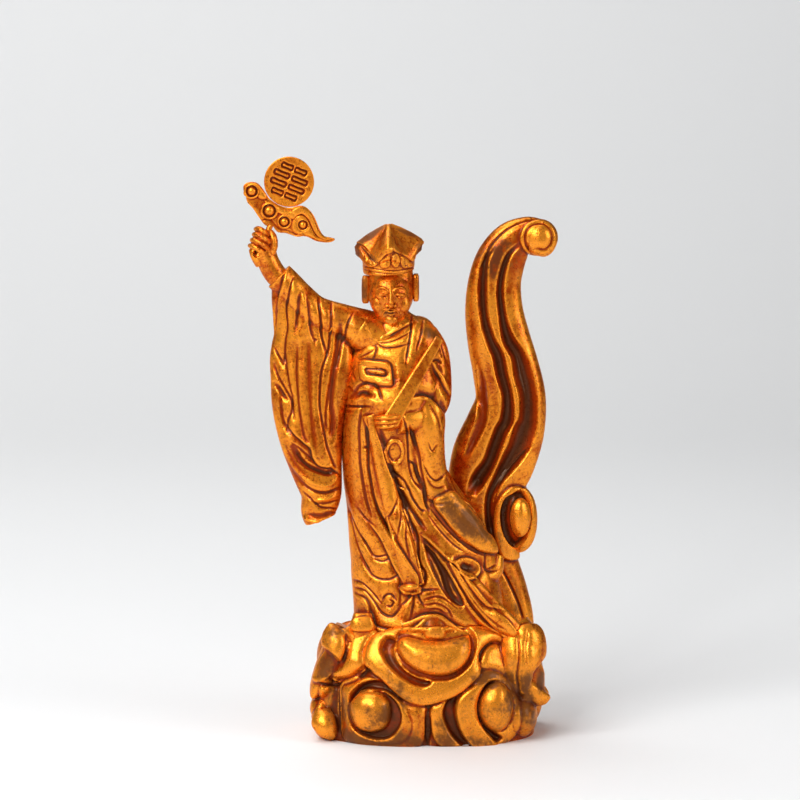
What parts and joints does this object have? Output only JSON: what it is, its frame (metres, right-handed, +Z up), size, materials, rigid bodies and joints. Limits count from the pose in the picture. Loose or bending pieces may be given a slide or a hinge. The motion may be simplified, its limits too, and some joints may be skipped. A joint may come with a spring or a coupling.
{
  "type": "gilt wood heavenly official statue",
  "caption": "Carved gilt wood statue of a robed official on a cloud base, holding up a cloud and coin wand, with a tall cloud scroll behind the figure",
  "frame": {"origin": "centre of the flat underside of the cloud base", "axes": "+Z up, the figure faces -Y, its raised arm is towards -X and the tall scroll towards +X"},
  "size_m": [0.2409, 0.132, 0.4519],
  "materials": {
    "gilt_carving": "worn gold leaf over red lacquer on carved wood, glossy clear coat",
    "gilt_wand": "bright gold leaf over red lacquer on carved wood, glossy clear coat"
  },
  "bodies": {
    "root": {"official_on_cloud_base": "gilt_carving", "cloud_and_coin_wand": "gilt_wand"}
  },
  "joints": []
}
